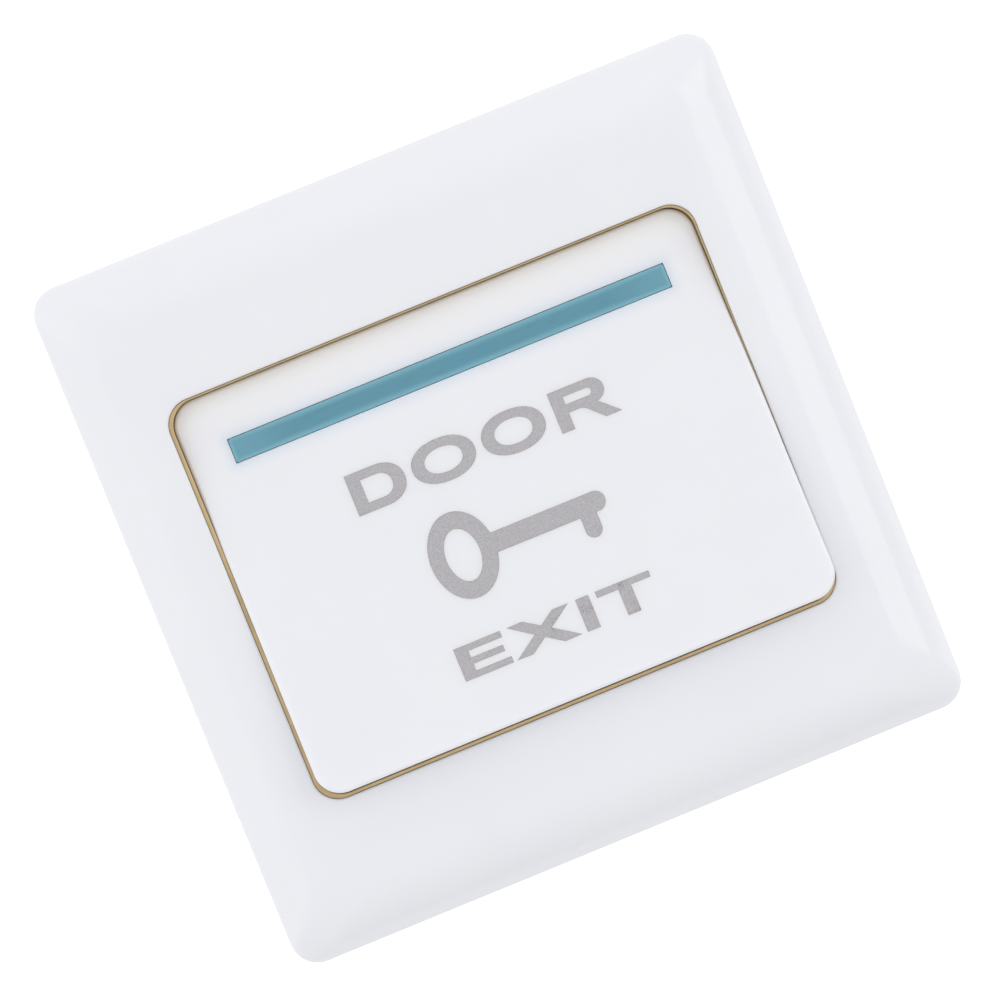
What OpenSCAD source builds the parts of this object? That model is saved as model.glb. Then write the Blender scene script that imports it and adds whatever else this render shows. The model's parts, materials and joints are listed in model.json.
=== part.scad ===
// Door exit button for a square flush wall box: a face plate with a wide rocking push panel,
// and the momentary switch behind it. Millimetres.
// The origin is on the wall at the plate's centre, +Y is up the wall and +Z faces the user.

/* [Face plate] */
// Width and height of the square face plate
plate_w = 86; // [84:0.5:90]
// Distance from the wall to the plate's flat face
plate_depth = 9.6; // [9.2:0.1:12]
// Thickness of the plate's walls
plate_wall = 2; // [1.6:0.1:2.2]
// Corner radius of the plate's outline
plate_corner_r = 3.4; // [2.8:0.1:6]
// Width of the rounded slope along each side
slope_w = 8; // [6:0.1:8.4]
// Radius of the rounded slope
slope_r = 10; // [9.4:0.1:13]
// Width of the plate's border at the left and right of the push panel
border_side = 9.85; // [9.8:0.05:12]
// Width of the plate's border above and below the push panel
border_top = 17.7; // [16:0.1:18]
// Corner radius of the opening
open_r = 3.2; // [2:0.1:5]
// Radius of the rounded edge round the opening
open_edge = 0.3; // [0.2:0.05:0.4]
// Thickness of the collar round the opening
collar_wall = 1.2; // [0.9:0.1:1.5]
// Depth of the collar below the plate's face
collar_depth = 4; // [3.4:0.1:4.4]
// Thickness of the stiffening ribs behind the face
plate_rib = 1; // [0.8:0.1:1.4]
// Distance of the ribs and clip hooks from the plate's middle
hook_x = 20; // [14:0.5:24]
// Width of a clip hook
hook_w = 6; // [4:0.5:8]
// How far a clip hook reaches under the frame's rim
hook_reach = 1.1; // [0.8:0.1:1.3]
// Width of the notch for prying the plate off
notch_w = 10; // [6:0.5:14]
// Height of the notch for prying the plate off
notch_h = 1.2; // [0.8:0.1:1.6]

/* [Trim ring] */
// Thickness of the gilt sheet
ring_t = 0.25; // [0.2:0.05:0.3]
// Depth of the ring's upper edge below the plate's face
ring_recess = 0.8; // [0.4:0.1:1.4]
// Width of the ring's foot under the collar
ring_foot = 1.8; // [1.4:0.1:2.2]
// Thickness of the ring's foot
ring_foot_t = 1; // [0.6:0.1:1.2]
// Clearance between the ring and the opening
ring_clear = 0.05; // [0.03:0.01:0.08]

/* [Push panel] */
// Gap between the opening and the panel at the sides
panel_gap_x = 0.38; // [0.36:0.01:0.8]
// Gap between the opening and the panel above and below
panel_gap_y = 0.6; // [0.5:0.01:0.9]
// Thickness of the panel's face
panel_t = 1.8; // [1.6:0.1:2.2]
// Radius of the rounded edge round the panel's face
panel_edge = 0.5; // [0.3:0.05:0.7]
// Thickness of the panel's skirt
skirt_t = 1.2; // [1:0.1:1.5]
// Depth of the skirt at the panel's upper end
skirt_upper = 2.4; // [2.2:0.1:2.8]
// Depth of the skirt at the panel's lower end
skirt_lower = 6.1; // [5:0.1:6.4]
// Inward lean of the skirt's two ends, in degrees
skirt_draft = 4; // [2:0.5:6]
// Height of the panel's middle above the plate's face
panel_proud = 0.8; // [0.4:0.1:1.2]
// Tilt of the panel at rest, lower end out, in degrees
rest_tilt = 6.6; // [5.4:0.1:6.8]
// Angle that a press turns the panel through, in degrees
press_angle = 5; // [3.5:0.1:5]
// Distance of the pivot from the plate's middle, downwards
pivot_low = 0.22; // [0.15:0.01:0.4]
// Gap between the bearing ears and the panel's back
pivot_room = 0.25; // [0.2:0.05:0.6]
// Thickness of the ribs behind the panel
panel_rib = 0.8; // [0.6:0.1:1.2]
// Height of the ribs behind the panel
panel_rib_h = 1.4; // [0.8:0.1:1.6]
// Distance of the coloured strip's ends from the panel's sides
strip_end = 5.15; // [4:0.05:12]
// Width of the coloured strip
strip_w = 3.15; // [2:0.05:5]
// Thickness of the coloured strip
strip_t = 1; // [0.6:0.1:1.2]
// Distance of the strip's middle line from the panel's upper edge
strip_from_top = 7.5; // [5:0.1:9]
// Clearance round the strip
strip_clear = 0.1; // [0.05:0.01:0.2]

/* [Rocker carrier] */
// Width of the carrier between the bearing ears
carrier_w = 40; // [38:0.5:42]
// Length of the carrier past the pressing nose
carrier_past_nose = 1; // [0.9:0.1:2]
// Thickness of the carrier's plate
carrier_t = 1.8; // [1.5:0.1:2]
// Thickness of the carrier's side ribs
carrier_rib = 1.6; // [1.2:0.1:2]
// Radius of the pivot pins
pin_r = 1.4; // [1.2:0.05:1.6]
// Running clearance round the pivot pins
pin_clear = 0.05; // [0.02:0.01:0.08]
// Distance of the pressing nose from the pivot
nose_arm = 12.5; // [11.8:0.1:12.8]
// Depth of the nose's centre below the pivot
nose_drop = 1.2; // [0.8:0.1:1.4]
// Radius of the pressing nose
nose_r = 1.6; // [1.3:0.1:1.8]
// Length of the pressing nose
nose_l = 7; // [4:0.5:12]
// Width of a catch that holds the carrier to the panel
catch_w = 5; // [3:0.5:7]
// Distance of the catches from the panel's middle
catch_x = 11; // [8:0.5:13]
// Reach of a catch under the carrier
catch_reach = 0.7; // [0.5:0.1:0.9]

/* [Mounting frame] */
// Thickness of the frame's floor
frame_t = 2; // [1.6:0.1:2.2]
// Thickness of the frame's rim
rim_wall = 1.6; // [1.2:0.1:1.8]
// Clearance between the frame and the plate
frame_clear = 0.3; // [0.2:0.05:0.5]
// Distance between the two fixing slots
fixing_pitch = 60.3; // [60:0.1:61]
// Half width of a fixing slot
fixing_r = 2.2; // [2:0.1:2.4]
// Length of a fixing slot from end to end
fixing_l = 8; // [6:0.5:9]
// Width of the floor left between the window and the stop posts
window_side = 1.1; // [0.8:0.1:3]
// Upper edge of the window above the plate's middle
window_up = 12; // [4:1:13]
// Thickness of a bearing ear
ear_t = 2.5; // [2:0.1:3]
// Width of a bearing ear at its foot
ear_w = 8; // [6:0.5:10]
// Gap between an ear and the carrier's rib
ear_gap = 0.4; // [0.3:0.1:0.6]
// Thickness of a stiffening rib
frame_rib = 1.2; // [1:0.1:1.6]
// Distance of the long stiffening ribs from the middle
frame_rib_y = 20.5; // [19:0.5:22]
// Gap between the stiffening ribs and the trim ring's foot
frame_rib_room = 1; // [0.6:0.1:1.4]

/* [Switch case] */
// Room inside the case beside the terminals
room_side = 5.1; // [4.6:0.1:7]
// Room inside the case below the plunger's guide
room_below = 0.9; // [0.8:0.1:4]
// Room inside the case above the clamping screws
room_above = 3.7; // [3.4:0.1:6]
// Room between the wire cages and the terminal arms
room_deep = 2.4; // [1:0.1:6]
// Thickness of the case's side walls
case_wall = 2.4; // [2.2:0.1:2.8]
// Thickness of the case's floor
case_floor = 1.8; // [1.5:0.1:2.4]
// Corner radius of the case
case_r = 2.5; // [1.5:0.1:3.5]
// Thickness of the case's lid
lid_t = 1.6; // [1.4:0.1:2]
// Clearance between the lid and the case
lid_clear = 0.15; // [0.1:0.05:0.2]
// Width of the ledge that the lid lies on
lid_ledge = 1; // [0.7:0.1:1.2]
// Wall outside the corner posts
post_edge = 0.6; // [0.5:0.1:1]
// Radius of the corner posts
post_r = 3.4; // [3:0.1:3.6]

/* [Plunger and contacts] */
// Radius of the plunger
plunger_r = 2; // [1.8:0.1:2.3]
// Gap between the nose and the plunger at rest
nose_gap = 0.05; // [0.04:0.01:0.1]
// Radius of the guide boss
guide_r = 4; // [3.6:0.1:4.2]
// Reach of the guide boss below the lid
guide_below = 2.4; // [2:0.1:3]
// Reach of the guide boss above the wall plane
guide_above = 1.4; // [1:0.1:1.8]
// Radius of the plunger's collar
flange_r = 3.2; // [2.8:0.1:3.6]
// Thickness of the plunger's collar
flange_t = 1; // [0.8:0.1:1.4]
// Radius of the plunger's spigot
spigot_r = 1.2; // [1:0.1:1.4]
// Reach of the spigot below the retaining clip
spigot_tail = 2.6; // [2:0.1:3.2]
// Length of the contact spring
contact_spring_l = 3.3; // [3:0.1:4]
// Radius of the spring wire
wire_r = 0.27; // [0.2:0.01:0.32]
// Mean radius of the two springs
spring_r = 2; // [1.8:0.05:2.1]
// Length of the contact bridge past the middle of each contact
bridge_end = 2; // [1.8:0.1:3]
// Width of the contact bridge
bridge_w = 5.6; // [5.2:0.1:6.5]
// Thickness of the contact bridge
bridge_t = 0.5; // [0.4:0.05:0.8]
// Distance between the two pairs of contacts
contact_pitch = 14; // [13:0.5:15]
// Radius of a contact
contact_r = 1.5; // [1.2:0.1:1.8]
// Thickness of a contact
contact_t = 0.6; // [0.4:0.1:0.8]
// Opening between the contacts at rest
contact_gap = 0.82; // [0.6:0.01:0.9]
// Radius of a contact's rivet shank
rivet_r = 0.7; // [0.5:0.1:0.9]
// Thickness of the retaining clip
clip_t = 0.4; // [0.3:0.05:0.6]
// Radius of the retaining clip
clip_r = 2.5; // [2.4:0.1:2.8]
// Clearance between pieces that slip over each other
slip = 0.03; // [0.02:0.01:0.05]

/* [Terminals] */
// Length of the stripping gauge in the case's back
gauge_l = 11; // [8:0.5:12]
// Width of the stripping gauge
gauge_w = 1.8; // [1.2:0.1:2.4]
// Depth of the stripping gauge
gauge_depth = 0.4; // [0.2:0.1:0.6]
// Distance of each wire entry from the middle
wire_x = 14; // [13.5:0.1:15]
// Distance of the wire entries above the middle
wire_y = 9; // [7.5:0.1:10]
// Radius of a wire entry
wire_entry_r = 1.7; // [1.4:0.1:2]
// Thickness of a terminal strip
strip_metal = 0.8; // [0.6:0.1:1]
// Width of a terminal strip
terminal_w = 5; // [4:0.1:5.4]
// Wall of the wire cage
cage_wall = 0.9; // [0.7:0.1:1]
// Height of the wire cage
cage_h = 6; // [5:0.1:6.4]
// Clearance of the wire cage above the case's floor
cage_clear = 0.1; // [0.05:0.05:0.2]
// Radius of a clamping screw
clamp_r = 1.5; // [1.25:0.05:1.6]
// Radius of a clamping screw's head
clamp_head_r = 2.4; // [2:0.1:2.5]
// Thickness of a clamping screw's head
clamp_head_t = 1.6; // [1.2:0.1:2]
// Radius of a case screw
screw_r = 1.05; // [0.9:0.05:1.2]
// Length of a case screw under its head
screw_l = 9; // [6:0.5:12]
// Radius of a case screw's head
screw_head_r = 2.2; // [1.9:0.1:2.4]
// Thickness of a case screw's head
screw_head_t = 1.1; // [0.9:0.1:1.3]

/* [Hidden] */
$fn = 64;

// Extra length of a cutting shape past the faces that it cuts
past = 1;
// Gap between faces that all but touch
near_gap = 0.05;

// Face plate
open_w = plate_w - 2 * border_side;
open_h = plate_w - 2 * border_top;
slope_x = plate_w / 2 - slope_w;
slope_z = plate_depth - slope_r;
inner_w = plate_w - 2 * plate_wall;
inner_corner_r = plate_corner_r - plate_wall;
ceiling_z = plate_depth - plate_wall;
collar_z = plate_depth - collar_depth;
hook_low = 0.6;
hook_top = 2.4;
hook_play = 0.3;

// Trim ring
ring_w = open_w - 2 * ring_clear;
ring_h = open_h - 2 * ring_clear;
ring_top = plate_depth - ring_recess;
foot_z = collar_z - ring_foot_t;

// Push panel, in its own frame with the pivot as origin
panel_w = open_w - 2 * panel_gap_x;
panel_h = open_h - 2 * panel_gap_y;
panel_r = open_r;
ear_wall = 1.1;
ear_top_r = pin_r + pin_clear + ear_wall;
pivot_drop = panel_t + ear_top_r + pivot_room;
panel_back = pivot_drop - panel_t;
skirt_upper_z = pivot_drop - skirt_upper;
skirt_lower_z = pivot_drop - skirt_lower;
strip_l = panel_w - 2 * strip_end;
strip_y = panel_h / 2 - strip_from_top;
pivot_y = -pivot_low;
pivot_z = plate_depth + panel_proud - pivot_drop * cos(rest_tilt);
pressed_tilt = rest_tilt - press_angle;

// Carrier
carrier_l = 2 * (nose_arm + carrier_past_nose);
carrier_back = panel_back - carrier_t;
carrier_rib_low = -pin_r;
catch_t = 1.2;
catch_nose = 0.6;
panel_rib_y = (carrier_l / 2 + catch_t + panel_h / 2 - skirt_t) / 2;
pin_end = carrier_w / 2 + ear_gap + ear_t;

// Where a point of the panel's frame lies on the wall's axes at a given tilt
function panel_to_y(y, z, tilt) = pivot_y + y * cos(tilt) + z * sin(tilt);
function panel_to_z(y, z, tilt) = pivot_z - y * sin(tilt) + z * cos(tilt);

// Mounting frame
frame_w = inner_w - 2 * frame_clear;
rim_reach = frame_w / 2 - slope_x;
rim_play = 0.4;
rim_top = slope_z + sqrt(pow(slope_r - plate_wall, 2) - rim_reach * rim_reach) - rim_play;
corner_play = 0.4;
frame_corner_r = inner_corner_r + corner_play;
frame_rib_top = foot_z - frame_rib_room;
ring_room = 0.3;
stop_w = 2;
stop_t = 1.2;
stop_room = 0.3;
stop_x = carrier_w / 2 - carrier_rib - stop_w / 2 - stop_room;
stop_from_nose = 1.5;
stop_y = nose_arm - stop_from_nose;
window_w = 2 * (stop_x - stop_w / 2 - window_side);
rest_stop_z = panel_to_z(stop_y + stop_t, carrier_back, rest_tilt) - near_gap;
press_stop_z = panel_to_z(-stop_y + stop_t, carrier_back, pressed_tilt) - near_gap;

// Plunger and contacts
plunger_y = panel_to_y(-nose_arm, -nose_drop, rest_tilt);
plunger_top = panel_to_z(-nose_arm, -nose_drop, rest_tilt) - nose_r - nose_gap;
guide_low = -lid_t - guide_below;
plunger_chamfer = 0.4;
flange_top = guide_low - near_gap;
flange_low = flange_top - flange_t;
bridge_l = contact_pitch + 2 * bridge_end;
bridge_top = flange_low - contact_spring_l;
bridge_low = bridge_top - bridge_t;
bridge_r = 1;
bridge_play = 0.1;
rivet_head = 0.3;
clip_top = bridge_low - near_gap;
clip_low = clip_top - clip_t;
moving_low = bridge_low - contact_t;
fixed_top = moving_low - contact_gap;
arm_top = fixed_top - contact_t;
arm_low = arm_top - strip_metal;
cage_low = arm_low - room_deep - cage_h;
floor_z = cage_low - cage_clear;
return_spring_l = clip_low - floor_z;
guide_room = 1.2;
window_low = plunger_y - guide_r - guide_room;

// Terminals
cage_mid = cage_low + cage_h / 2;
cage_side_clear = 0.15;
cage_in_w = terminal_w + 2 * cage_side_clear;
leg_y = wire_y - wire_entry_r - strip_metal;
cage_low_y = leg_y - slip;
wire_room = 0.5;
cage_high_y = wire_y + wire_entry_r + wire_room;
arm_w = 4;
clamp_lift = 0.1;
clamp_tip_y = wire_y + wire_entry_r + clamp_lift;
clamp_room = 0.2;
clamp_head_y = cage_high_y + cage_wall + clamp_room;
clamp_slot_w = 0.7;
clamp_slot_depth = 0.7;
access_play = 0.3;
access_r = clamp_head_r + access_play;
sunk = 0.1;
counterbore = screw_head_t + sunk;
head_play = 0.15;
support_gap = 1.5;
support_inset = 0.5;
support_low_y = plunger_y + arm_w / 2 + support_gap;
support_high_y = leg_y - support_gap;
boss_play = 0.3;
boss_h = 2.2;
hold_down = 3;

// Case
cavity_w = 2 * (wire_x + terminal_w / 2 + room_side);
cavity_low_y = plunger_y - guide_r - room_below;
cavity_high_y = clamp_head_y + clamp_head_t + room_above;
cavity_h = cavity_high_y - cavity_low_y;
case_w = cavity_w + 2 * case_wall;
case_h = cavity_h + 2 * case_wall;
case_y = (cavity_high_y + cavity_low_y) / 2;
case_depth = case_floor - floor_z;
cavity_r = 0.8;
post_x = case_w / 2 - post_r - post_edge;
post_y = case_h / 2 - post_r - post_edge;

// A rectangle with round corners, centred
module rounded_rect(w, h, r) {
    square([w - 2 * r, h], center = true);
    square([w, h - 2 * r], center = true);
    for (x = [-1, 1], y = [-1, 1])
        translate([x * (w / 2 - r), y * (h / 2 - r)])
            circle(r);
}

// A straight wall round a rounded rectangle, from z0 to z1
module rect_tube(w, h, r, wall, z0, z1) {
    translate([0, 0, z0])
        linear_extrude(z1 - z0)
            difference() {
                rounded_rect(w, h, r);
                rounded_rect(w - 2 * wall, h - 2 * wall, r - wall);
            }
}

// The child and its mirror image across the YZ plane
module left_and_right() {
    children();
    mirror([1, 0, 0])
        children();
}

// The child and its mirror image across the XZ plane
module up_and_down() {
    children();
    mirror([0, 1, 0])
        children();
}

// A strip of section profile, drawn as across and up, run along X
module along_x(length) {
    translate([-length / 2, 0, 0])
        rotate([90, 0, 90])
            linear_extrude(length)
                children();
}

// Side view of a block from low to top: a positive edge rounds its upper edges off,
// and a negative one flares them out, for the cutter of a hole with a rounded edge
module edged_side(w, low, top, edge) {
    arc_x = w / 2 - edge;
    arc_z = top - abs(edge);
    if (edge > 0) {
        translate([-w / 2, low])
            square([w, arc_z - low]);
        translate([-arc_x, low])
            square([2 * arc_x, top - low]);
        for (x = [-1, 1])
            translate([x * arc_x, arc_z])
                circle(edge);
    } else {
        difference() {
            union() {
                translate([-w / 2, low])
                    square([w, top - low]);
                translate([-arc_x, arc_z])
                    square([2 * arc_x, top + past - arc_z]);
            }
            for (x = [-1, 1])
                translate([x * arc_x, arc_z])
                    circle(-edge);
        }
    }
}

// A block over a rectangle with round corners, its upper edges as in the side view above
module edged_block(w, h, r, low, top, edge) {
    along_x(w - 2 * r)
        edged_side(h, low, top, edge);
    rotate([0, 0, 90])
        along_x(h - 2 * r)
            edged_side(w, low, top, edge);
    left_and_right()
        up_and_down()
            translate([w / 2 - r, h / 2 - r, 0])
                rotate_extrude(angle = 90)
                    intersection() {
                        edged_side(2 * r, low, top, edge);
                        translate([0, low])
                            square([r + past, top + past - low]);
                    }
}

// The plate's outline seen from one side, grown inwards by wall
module pillow_profile(wall) {
    half = plate_w / 2 - wall;
    intersection() {
        translate([-half, -past])
            square([2 * half, plate_depth + past - wall]);
        union() {
            translate([-slope_x, -past])
                square([2 * slope_x, plate_depth + past - wall]);
            translate([-half, -past])
                square([2 * half, slope_z + past]);
            for (x = [-1, 1])
                translate([x * slope_x, slope_z])
                    circle(slope_r - wall);
        }
    }
}

// The pillow form that the plate and its hollow share
module pillow(wall, corner_r, z0) {
    intersection() {
        translate([0, 0, z0])
            linear_extrude(plate_depth)
                rounded_rect(plate_w - 2 * wall, plate_w - 2 * wall, corner_r);
        along_x(plate_w)
            pillow_profile(wall);
        rotate([0, 0, 90])
            along_x(plate_w)
                pillow_profile(wall);
    }
}

// One hook inside the plate's upper or lower wall
module clip_hook() {
    translate([hook_x, 0, 0])
        along_x(hook_w)
            polygon([[inner_w / 2 + plate_wall / 2, hook_low],
                     [inner_w / 2, hook_low],
                     [inner_w / 2 - hook_reach, hook_top - hook_low],
                     [inner_w / 2 - hook_reach, hook_top],
                     [inner_w / 2 + plate_wall / 2, hook_top]]);
}

// Ribs that tie the collar to the slopes
module plate_ribs() {
    intersection() {
        pillow(plate_wall / 2, inner_corner_r + plate_wall / 2, 0);
        union() {
            for (x = [-hook_x, hook_x], y = [-1, 1])
                translate([x - plate_rib / 2, y > 0 ? open_h / 2 + collar_wall / 2 : -plate_w / 2, collar_z])
                    cube([plate_rib, (plate_w - open_h - collar_wall) / 2, collar_depth]);
            for (y = [-hook_x, 0, hook_x], x = [-1, 1])
                translate([x > 0 ? open_w / 2 + collar_wall / 2 : -plate_w / 2, y - plate_rib / 2, collar_z])
                    cube([(plate_w - open_w - collar_wall) / 2, plate_rib, collar_depth]);
        }
    }
}

module face_plate() {
    color([0.93, 0.93, 0.95])
        difference() {
            union() {
                difference() {
                    pillow(0, plate_corner_r, 0);
                    pillow(plate_wall, inner_corner_r, -past);
                }
                rect_tube(open_w + 2 * collar_wall, open_h + 2 * collar_wall, open_r + collar_wall,
                          collar_wall, collar_z, ceiling_z + plate_wall / 2);
                plate_ribs();
                left_and_right()
                    up_and_down()
                        clip_hook();
            }
            edged_block(open_w, open_h, open_r, collar_z - past, plate_depth, -open_edge);
            translate([-notch_w / 2, -plate_w / 2 - past, -past])
                cube([notch_w, plate_wall + 2 * past, notch_h + past]);
        }
}

module trim_ring() {
    color([0.78, 0.66, 0.38]) {
        rect_tube(ring_w, ring_h, open_r - ring_clear, ring_t, foot_z, ring_top);
        translate([0, 0, foot_z])
            linear_extrude(ring_foot_t)
                difference() {
                    rounded_rect(ring_w + 2 * (ring_foot - ring_t), ring_h + 2 * (ring_foot - ring_t),
                                 open_r + ring_foot - ring_t);
                    rounded_rect(ring_w - 2 * ring_t, ring_h - 2 * ring_t, open_r - ring_clear - ring_t);
                }
    }
}

// A long hole along X with its middle at the origin
module slot(length, r) {
    linear_extrude(frame_t + 2 * past) {
        square([length - 2 * r, 2 * r], center = true);
        for (x = [-1, 1])
            translate([x * (length / 2 - r), 0])
                circle(r);
    }
}

// One upright ear with the bearing for a pivot pin
module bearing_ear() {
    translate([carrier_w / 2 + ear_gap, pivot_y, 0])
        rotate([90, 0, 90])
            linear_extrude(ear_t)
                difference() {
                    union() {
                        translate([-ear_w / 2, frame_t / 2])
                            square([ear_w, pivot_z - frame_t / 2 - ear_top_r]);
                        translate([-ear_top_r, frame_t / 2])
                            square([2 * ear_top_r, pivot_z - frame_t / 2]);
                        translate([0, pivot_z])
                            circle(ear_top_r);
                    }
                    translate([0, pivot_z])
                        circle(pin_r + pin_clear);
                }
}

// The child at each of the case's four corner posts
module at_posts() {
    for (x = [-1, 1], y = [-1, 1])
        translate([x * post_x, case_y + y * post_y, 0])
            children();
}

// A post that stops the carrier, reaching from the floor to z
module stop_post(y, z) {
    translate([stop_x - stop_w / 2, y - stop_t / 2, frame_t / 2])
        cube([stop_w, stop_t, z - frame_t / 2]);
}

module mounting_frame() {
    color([0.88, 0.88, 0.87])
        difference() {
            union() {
                linear_extrude(frame_t)
                    rounded_rect(frame_w, frame_w, frame_corner_r);
                rect_tube(frame_w, frame_w, frame_corner_r, rim_wall, frame_t / 2, rim_top);
                left_and_right() {
                    bearing_ear();
                    stop_post(stop_y, rest_stop_z);
                    stop_post(-stop_y, press_stop_z);
                    translate([0, 0, frame_t / 2])
                        for (y = [-frame_rib_y, frame_rib_y])
                            translate([window_w / 2, y - frame_rib / 2, 0])
                                cube([(frame_w - window_w) / 2 - rim_wall / 2, frame_rib,
                                      frame_rib_top - frame_t / 2]);
                }
                up_and_down()
                    translate([-open_w / 2 + open_r, ring_h / 2 + ring_room, frame_t / 2])
                        cube([open_w - 2 * open_r, frame_rib, foot_z - frame_t / 2]);
            }
            translate([-window_w / 2, window_low, -past])
                cube([window_w, window_up - window_low, frame_t + 2 * past]);
            left_and_right() {
                translate([fixing_pitch / 2, 0, -past])
                    slot(fixing_l, fixing_r);
                up_and_down()
                    translate([hook_x - hook_w / 2 - hook_play,
                               inner_w / 2 - hook_reach - hook_play, -past])
                        cube([hook_w + 2 * hook_play, hook_reach + past, past + hook_top + hook_play]);
            }
            at_posts() {
                translate([0, 0, -past])
                    cylinder(r = screw_r + slip, h = frame_t + 2 * past);
                translate([0, 0, frame_t - counterbore])
                    cylinder(r = screw_head_r + head_play, h = counterbore + past);
            }
        }
}

// The panel's side view, its ends leaning inwards below the face's edge, grown inwards by wall
module panel_side(wall) {
    half = panel_h / 2 - wall;
    lean = tan(skirt_draft);
    full_z = pivot_drop - panel_edge;
    top = pivot_drop + past;
    upper_low = skirt_upper_z - (wall > 0 ? past : 0);
    lower_low = skirt_lower_z - (wall > 0 ? past : 0);
    polygon([[-half - lean * (top - full_z), top],
             [-half + lean * (full_z - lower_low), lower_low],
             [half - lean * (full_z - upper_low), upper_low],
             [half + lean * (top - full_z), top]]);
}

// One catch behind the panel, at the carrier's upper or lower edge
module panel_catch() {
    translate([catch_x, 0, 0])
        along_x(catch_w)
            polygon([[carrier_l / 2 + slip, panel_back + panel_t / 2],
                     [carrier_l / 2 + slip, carrier_back - slip],
                     [carrier_l / 2 - catch_reach, carrier_back - slip],
                     [carrier_l / 2, carrier_back - slip - catch_nose],
                     [carrier_l / 2 + catch_t, carrier_back - slip - catch_nose],
                     [carrier_l / 2 + catch_t, panel_back + panel_t / 2]]);
}

// Places a child drawn in the panel's frame as it stands at rest
module at_rest() {
    translate([0, pivot_y, pivot_z])
        rotate([-rest_tilt, 0, 0])
            children();
}

module rocker_panel() {
    color([0.93, 0.93, 0.95])
        at_rest()
            difference() {
                union() {
                    difference() {
                        intersection() {
                            edged_block(panel_w, panel_h, panel_r, skirt_lower_z - past, pivot_drop, panel_edge);
                            along_x(panel_w)
                                panel_side(0);
                        }
                        intersection() {
                            translate([0, 0, skirt_lower_z - 2 * past])
                                linear_extrude(skirt_lower + 2 * past - panel_t)
                                    rounded_rect(panel_w - 2 * skirt_t, panel_h - 2 * skirt_t,
                                                 panel_r - skirt_t);
                            along_x(panel_w)
                                panel_side(skirt_t);
                        }
                    }
                    left_and_right()
                        up_and_down()
                            panel_catch();
                    up_and_down()
                        translate([-panel_w / 2 + skirt_t / 2, panel_rib_y - panel_rib / 2,
                                   panel_back - panel_rib_h])
                            cube([panel_w - skirt_t, panel_rib, panel_rib_h + panel_t / 2]);
                }
                translate([0, strip_y, pivot_drop - strip_t])
                    linear_extrude(strip_t + past)
                        square([strip_l + 2 * strip_clear, strip_w + 2 * strip_clear], center = true);
            }
}

module indicator_strip() {
    color([0.39, 0.62, 0.69, 0.9])
        at_rest()
            translate([0, strip_y, pivot_drop - strip_t])
                linear_extrude(strip_t)
                    square([strip_l, strip_w], center = true);
}

module rocker_carrier() {
    color([0.80, 0.80, 0.80])
        at_rest() {
            translate([-carrier_w / 2, -carrier_l / 2, carrier_back])
                cube([carrier_w, carrier_l, carrier_t]);
            left_and_right() {
                translate([carrier_w / 2 - carrier_rib, -carrier_l / 4, carrier_rib_low])
                    cube([carrier_rib, carrier_l / 2, carrier_back - carrier_rib_low + carrier_t / 2]);
                translate([carrier_w / 2 - carrier_rib / 2, 0, 0])
                    rotate([0, 90, 0])
                        cylinder(r = pin_r, h = pin_end - carrier_w / 2 + carrier_rib / 2);
            }
            translate([-nose_l / 2, -nose_arm, 0]) {
                translate([0, 0, -nose_drop])
                    rotate([0, 90, 0])
                        cylinder(r = nose_r, h = nose_l);
                translate([0, -nose_r / 2, -nose_drop])
                    cube([nose_l, nose_r, nose_drop + carrier_back + carrier_t / 2]);
            }
        }
}

// The blocks that carry the terminal arms, and the boss inside the return spring
module case_supports() {
    left_and_right()
        translate([wire_x - terminal_w / 2 + support_inset, support_low_y, floor_z - case_floor / 2])
            cube([terminal_w - 2 * support_inset, support_high_y - support_low_y,
                  arm_low - floor_z + case_floor / 2]);
    translate([0, plunger_y, floor_z - case_floor / 2])
        cylinder(r = spring_r - wire_r - boss_play, h = case_floor / 2 + boss_h);
}

// The groove in the case's back that shows how much of a wire to strip
module gauge_groove() {
    translate([-gauge_l / 2, wire_y - gauge_w / 2, -case_depth - past])
        cube([gauge_l, gauge_w, past + gauge_depth]);
}

module switch_case() {
    color([0.86, 0.86, 0.84])
        difference() {
            union() {
                difference() {
                    translate([0, case_y, -case_depth])
                        linear_extrude(case_depth)
                            rounded_rect(case_w, case_h, case_r);
                    translate([0, case_y, floor_z])
                        linear_extrude(case_depth)
                            rounded_rect(cavity_w, cavity_h, cavity_r);
                }
                case_supports();
                at_posts()
                    translate([0, 0, floor_z - case_floor / 2])
                        cylinder(r = post_r, h = case_floor / 2 - floor_z);
            }
            difference() {
                translate([0, case_y, -lid_t])
                    linear_extrude(lid_t + past)
                        rounded_rect(cavity_w + 2 * lid_ledge, cavity_h + 2 * lid_ledge,
                                     cavity_r + lid_clear);
                at_posts()
                    translate([0, 0, -lid_t - past])
                        cylinder(r = post_r, h = lid_t + 3 * past);
            }
            at_posts()
                translate([0, 0, -screw_l])
                    cylinder(r = screw_r + slip, h = screw_l + past);
            left_and_right() {
                translate([wire_x, wire_y, -case_depth - past])
                    cylinder(r = wire_entry_r, h = case_floor + 2 * past);
                translate([wire_x, cavity_high_y - past, cage_mid])
                    rotate([-90, 0, 0])
                        cylinder(r = access_r, h = case_wall + 2 * past);
            }
            gauge_groove();
        }
}

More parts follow.
